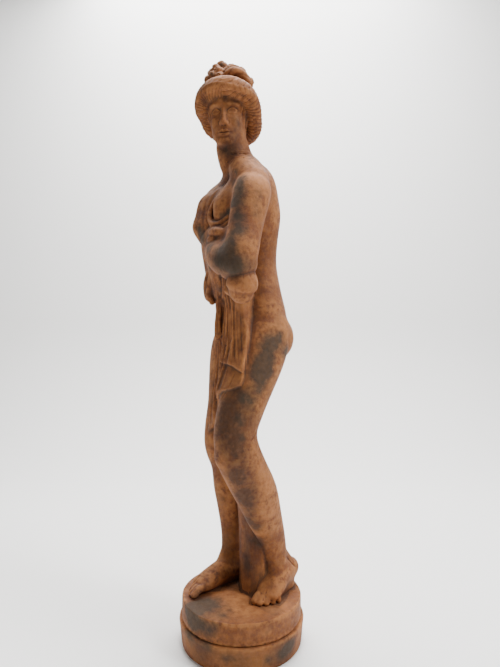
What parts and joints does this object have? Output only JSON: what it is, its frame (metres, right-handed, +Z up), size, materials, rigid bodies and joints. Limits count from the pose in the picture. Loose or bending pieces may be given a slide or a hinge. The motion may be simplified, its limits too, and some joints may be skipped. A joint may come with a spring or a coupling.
{
  "type": "garden statue",
  "caption": "Standing woman in draped cloth, arms folded, head turned over the left shoulder, cast in rusted iron on a round stepped plinth.",
  "frame": {"origin": "centre of the plinth step's underside, on the ground", "axes": "+Z up along the figure, -Y the way her body faces, +X to her left"},
  "size_m": [0.3625, 0.3372, 1.5711],
  "materials": {
    "figure_iron": "matt orange-brown rust with dark grey patches",
    "step_iron": "matt orange-brown rust with dark grey patches"
  },
  "bodies": {
    "root": {"figure": "figure_iron", "plinth_step": "step_iron"}
  },
  "joints": []
}
